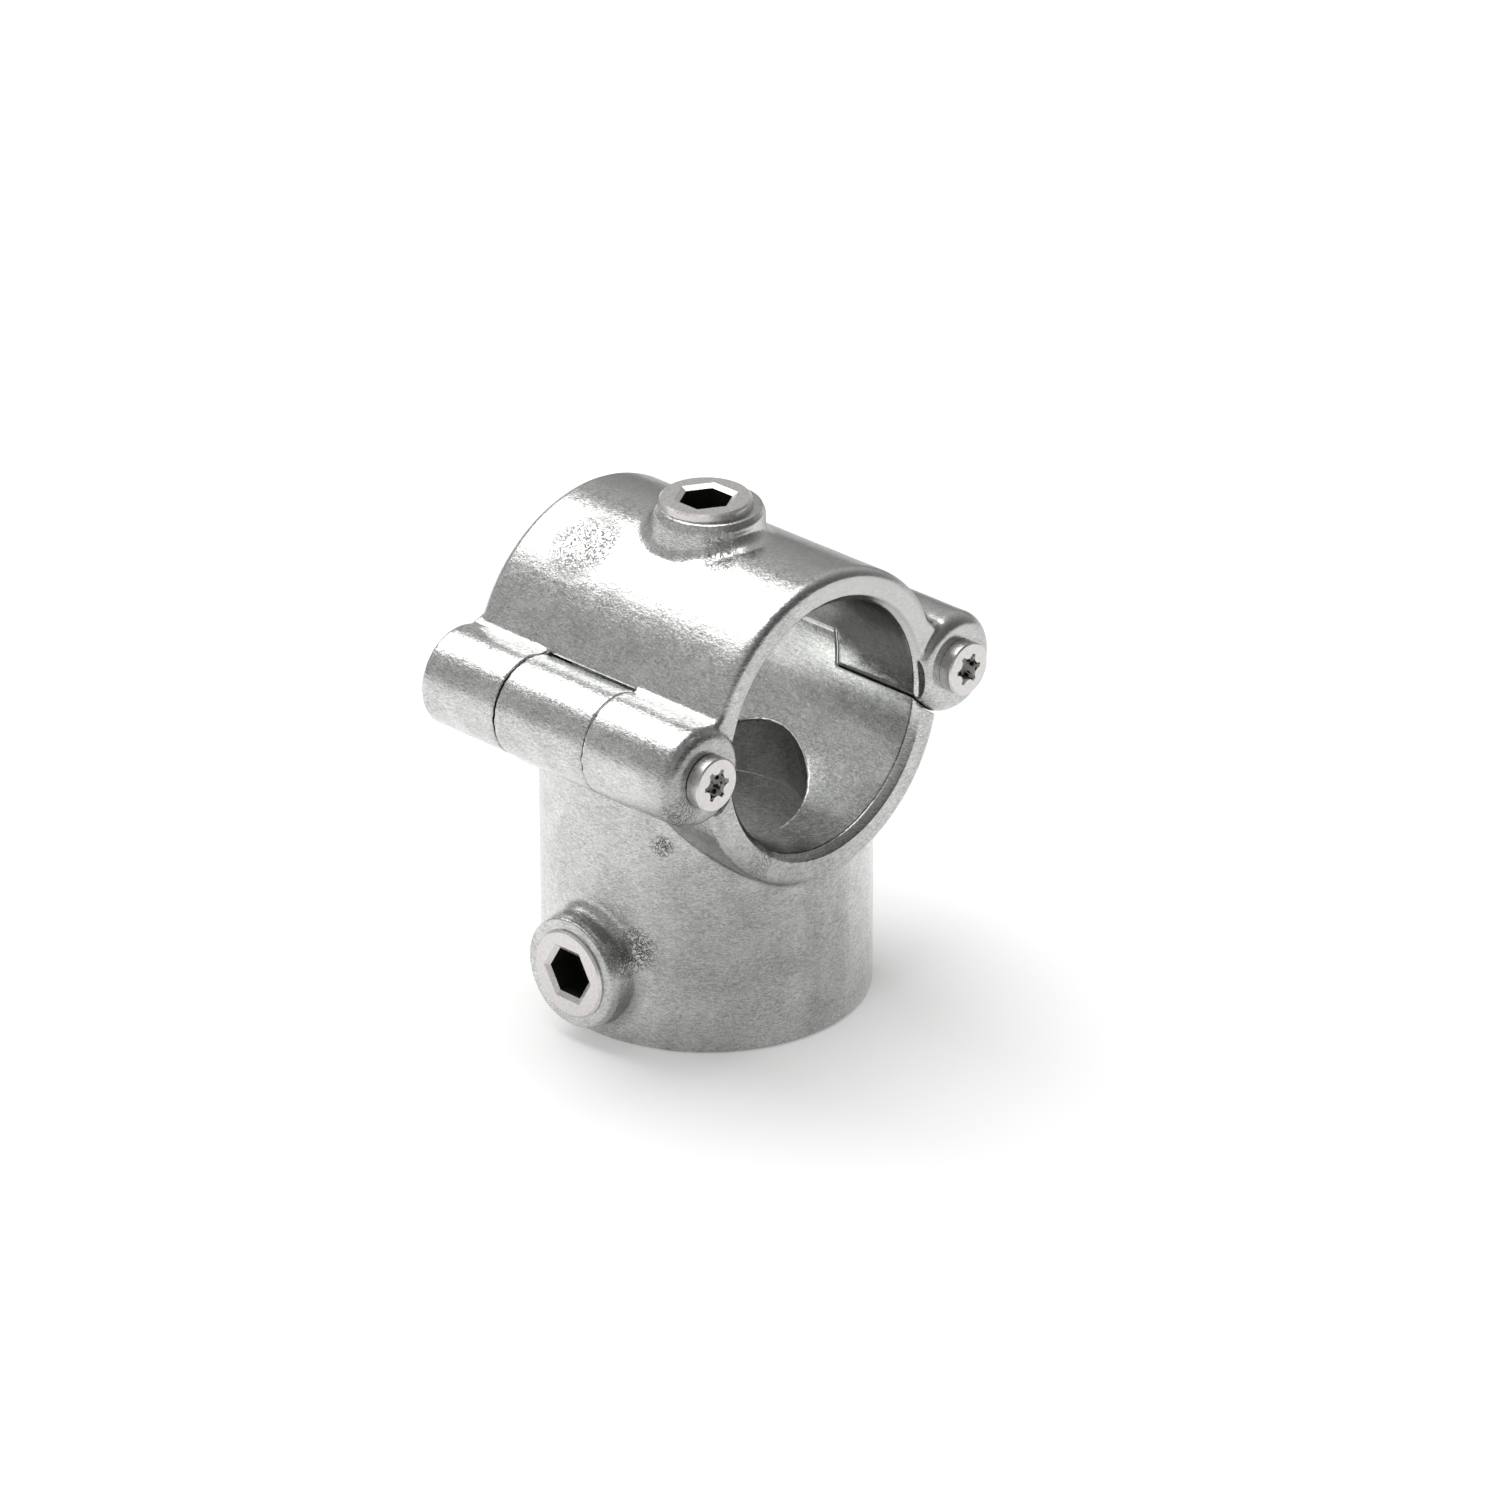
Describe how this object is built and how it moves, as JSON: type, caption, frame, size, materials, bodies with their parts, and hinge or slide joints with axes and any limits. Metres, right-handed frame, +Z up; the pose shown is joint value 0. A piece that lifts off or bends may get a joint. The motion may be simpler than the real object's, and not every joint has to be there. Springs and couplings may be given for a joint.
{
  "type": "tube clamp tee fitting",
  "caption": "Split tee that clamps round a through rail and carries a post in a socket at right angles, held by set screws.",
  "frame": {"origin": "where the rail's axis and the post's axis cross, in the middle of the rail bore", "axes": "+X along the rail, towards the hinge screws' heads; +Z up, away from the post, which enters along Z from below; the post's set screw faces -Y"},
  "size_m": [0.0607, 0.0788, 0.0906],
  "materials": {
    "galvanised_casting": "hot-dip galvanised over a sand cast skin",
    "set_screw_steel": "satin zinc plate, turned",
    "hinge_screw_steel": "bright turned"
  },
  "bodies": {
    "root": {"socket_casting": "galvanised_casting", "clamp_cap": "galvanised_casting", "cap_set_screw": "set_screw_steel", "post_set_screw": "set_screw_steel", "near_hinge_screw": "hinge_screw_steel", "far_hinge_screw": "hinge_screw_steel"}
  },
  "joints": []
}
